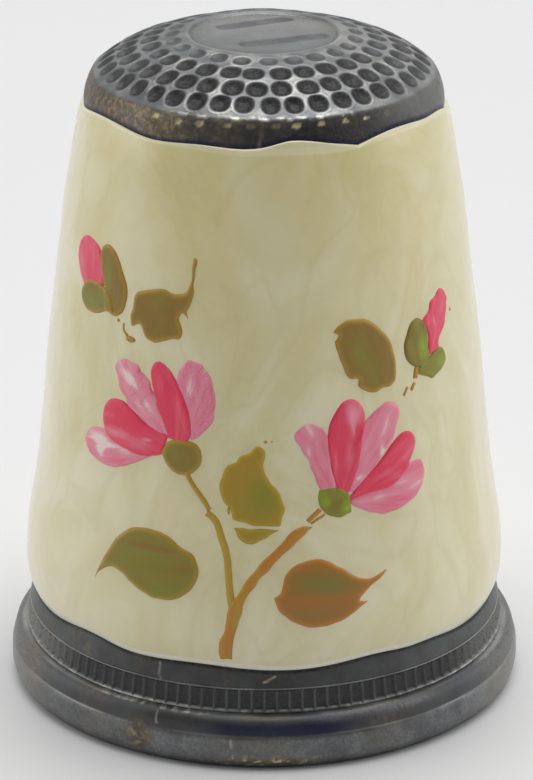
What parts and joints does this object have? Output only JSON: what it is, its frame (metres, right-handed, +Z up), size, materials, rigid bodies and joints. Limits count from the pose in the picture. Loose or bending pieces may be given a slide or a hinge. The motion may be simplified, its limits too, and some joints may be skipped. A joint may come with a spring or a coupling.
{
  "type": "thimble",
  "caption": "Decorative metal thimble with a dimpled crown, a pearly sleeve with raised painted flowers, and a foot with a milled band.",
  "frame": {"origin": "centre of the foot's resting face, on the thimble's axis", "axes": "+Z up the axis from the mouth to the crown; the painted side faces -Y; +X is to the right of someone facing the painted side"},
  "size_m": [0.0204, 0.0204, 0.0264],
  "materials": {
    "cup_metal": "dull silver-coloured inside of a drawn cup",
    "oxidised_metal": "dark oxidised silver plate, worn bright on its edges, with brown tarnish",
    "pearl_resin": "pearly cream resin, satin gloss, with soft cloudy swirls",
    "rose_enamel": "raised rose and pale pink enamel in brush strokes",
    "olive_enamel": "raised olive enamel with ochre edges",
    "lime_enamel": "raised bright green enamel",
    "ochre_enamel": "thin ochre enamel strokes"
  },
  "bodies": {
    "root": {"liner_cup": "cup_metal", "crown_cap": "oxidised_metal", "pearl_sleeve": "pearl_resin", "collar_ring": "oxidised_metal", "milled_band": "oxidised_metal", "foot_ring": "oxidised_metal", "left_flower_petals": "rose_enamel", "left_flower_calyx": "olive_enamel", "right_flower_petals": "rose_enamel", "right_flower_calyx": "lime_enamel", "left_bud_petal": "rose_enamel", "left_bud_sepals": "olive_enamel", "right_bud_petal": "rose_enamel", "right_bud_sepals": "lime_enamel", "flower_stems": "ochre_enamel", "upper_left_leaf": "olive_enamel", "upper_right_leaf": "olive_enamel", "centre_leaf": "olive_enamel", "lower_left_leaf": "olive_enamel", "lower_right_leaf": "olive_enamel"}
  },
  "joints": []
}
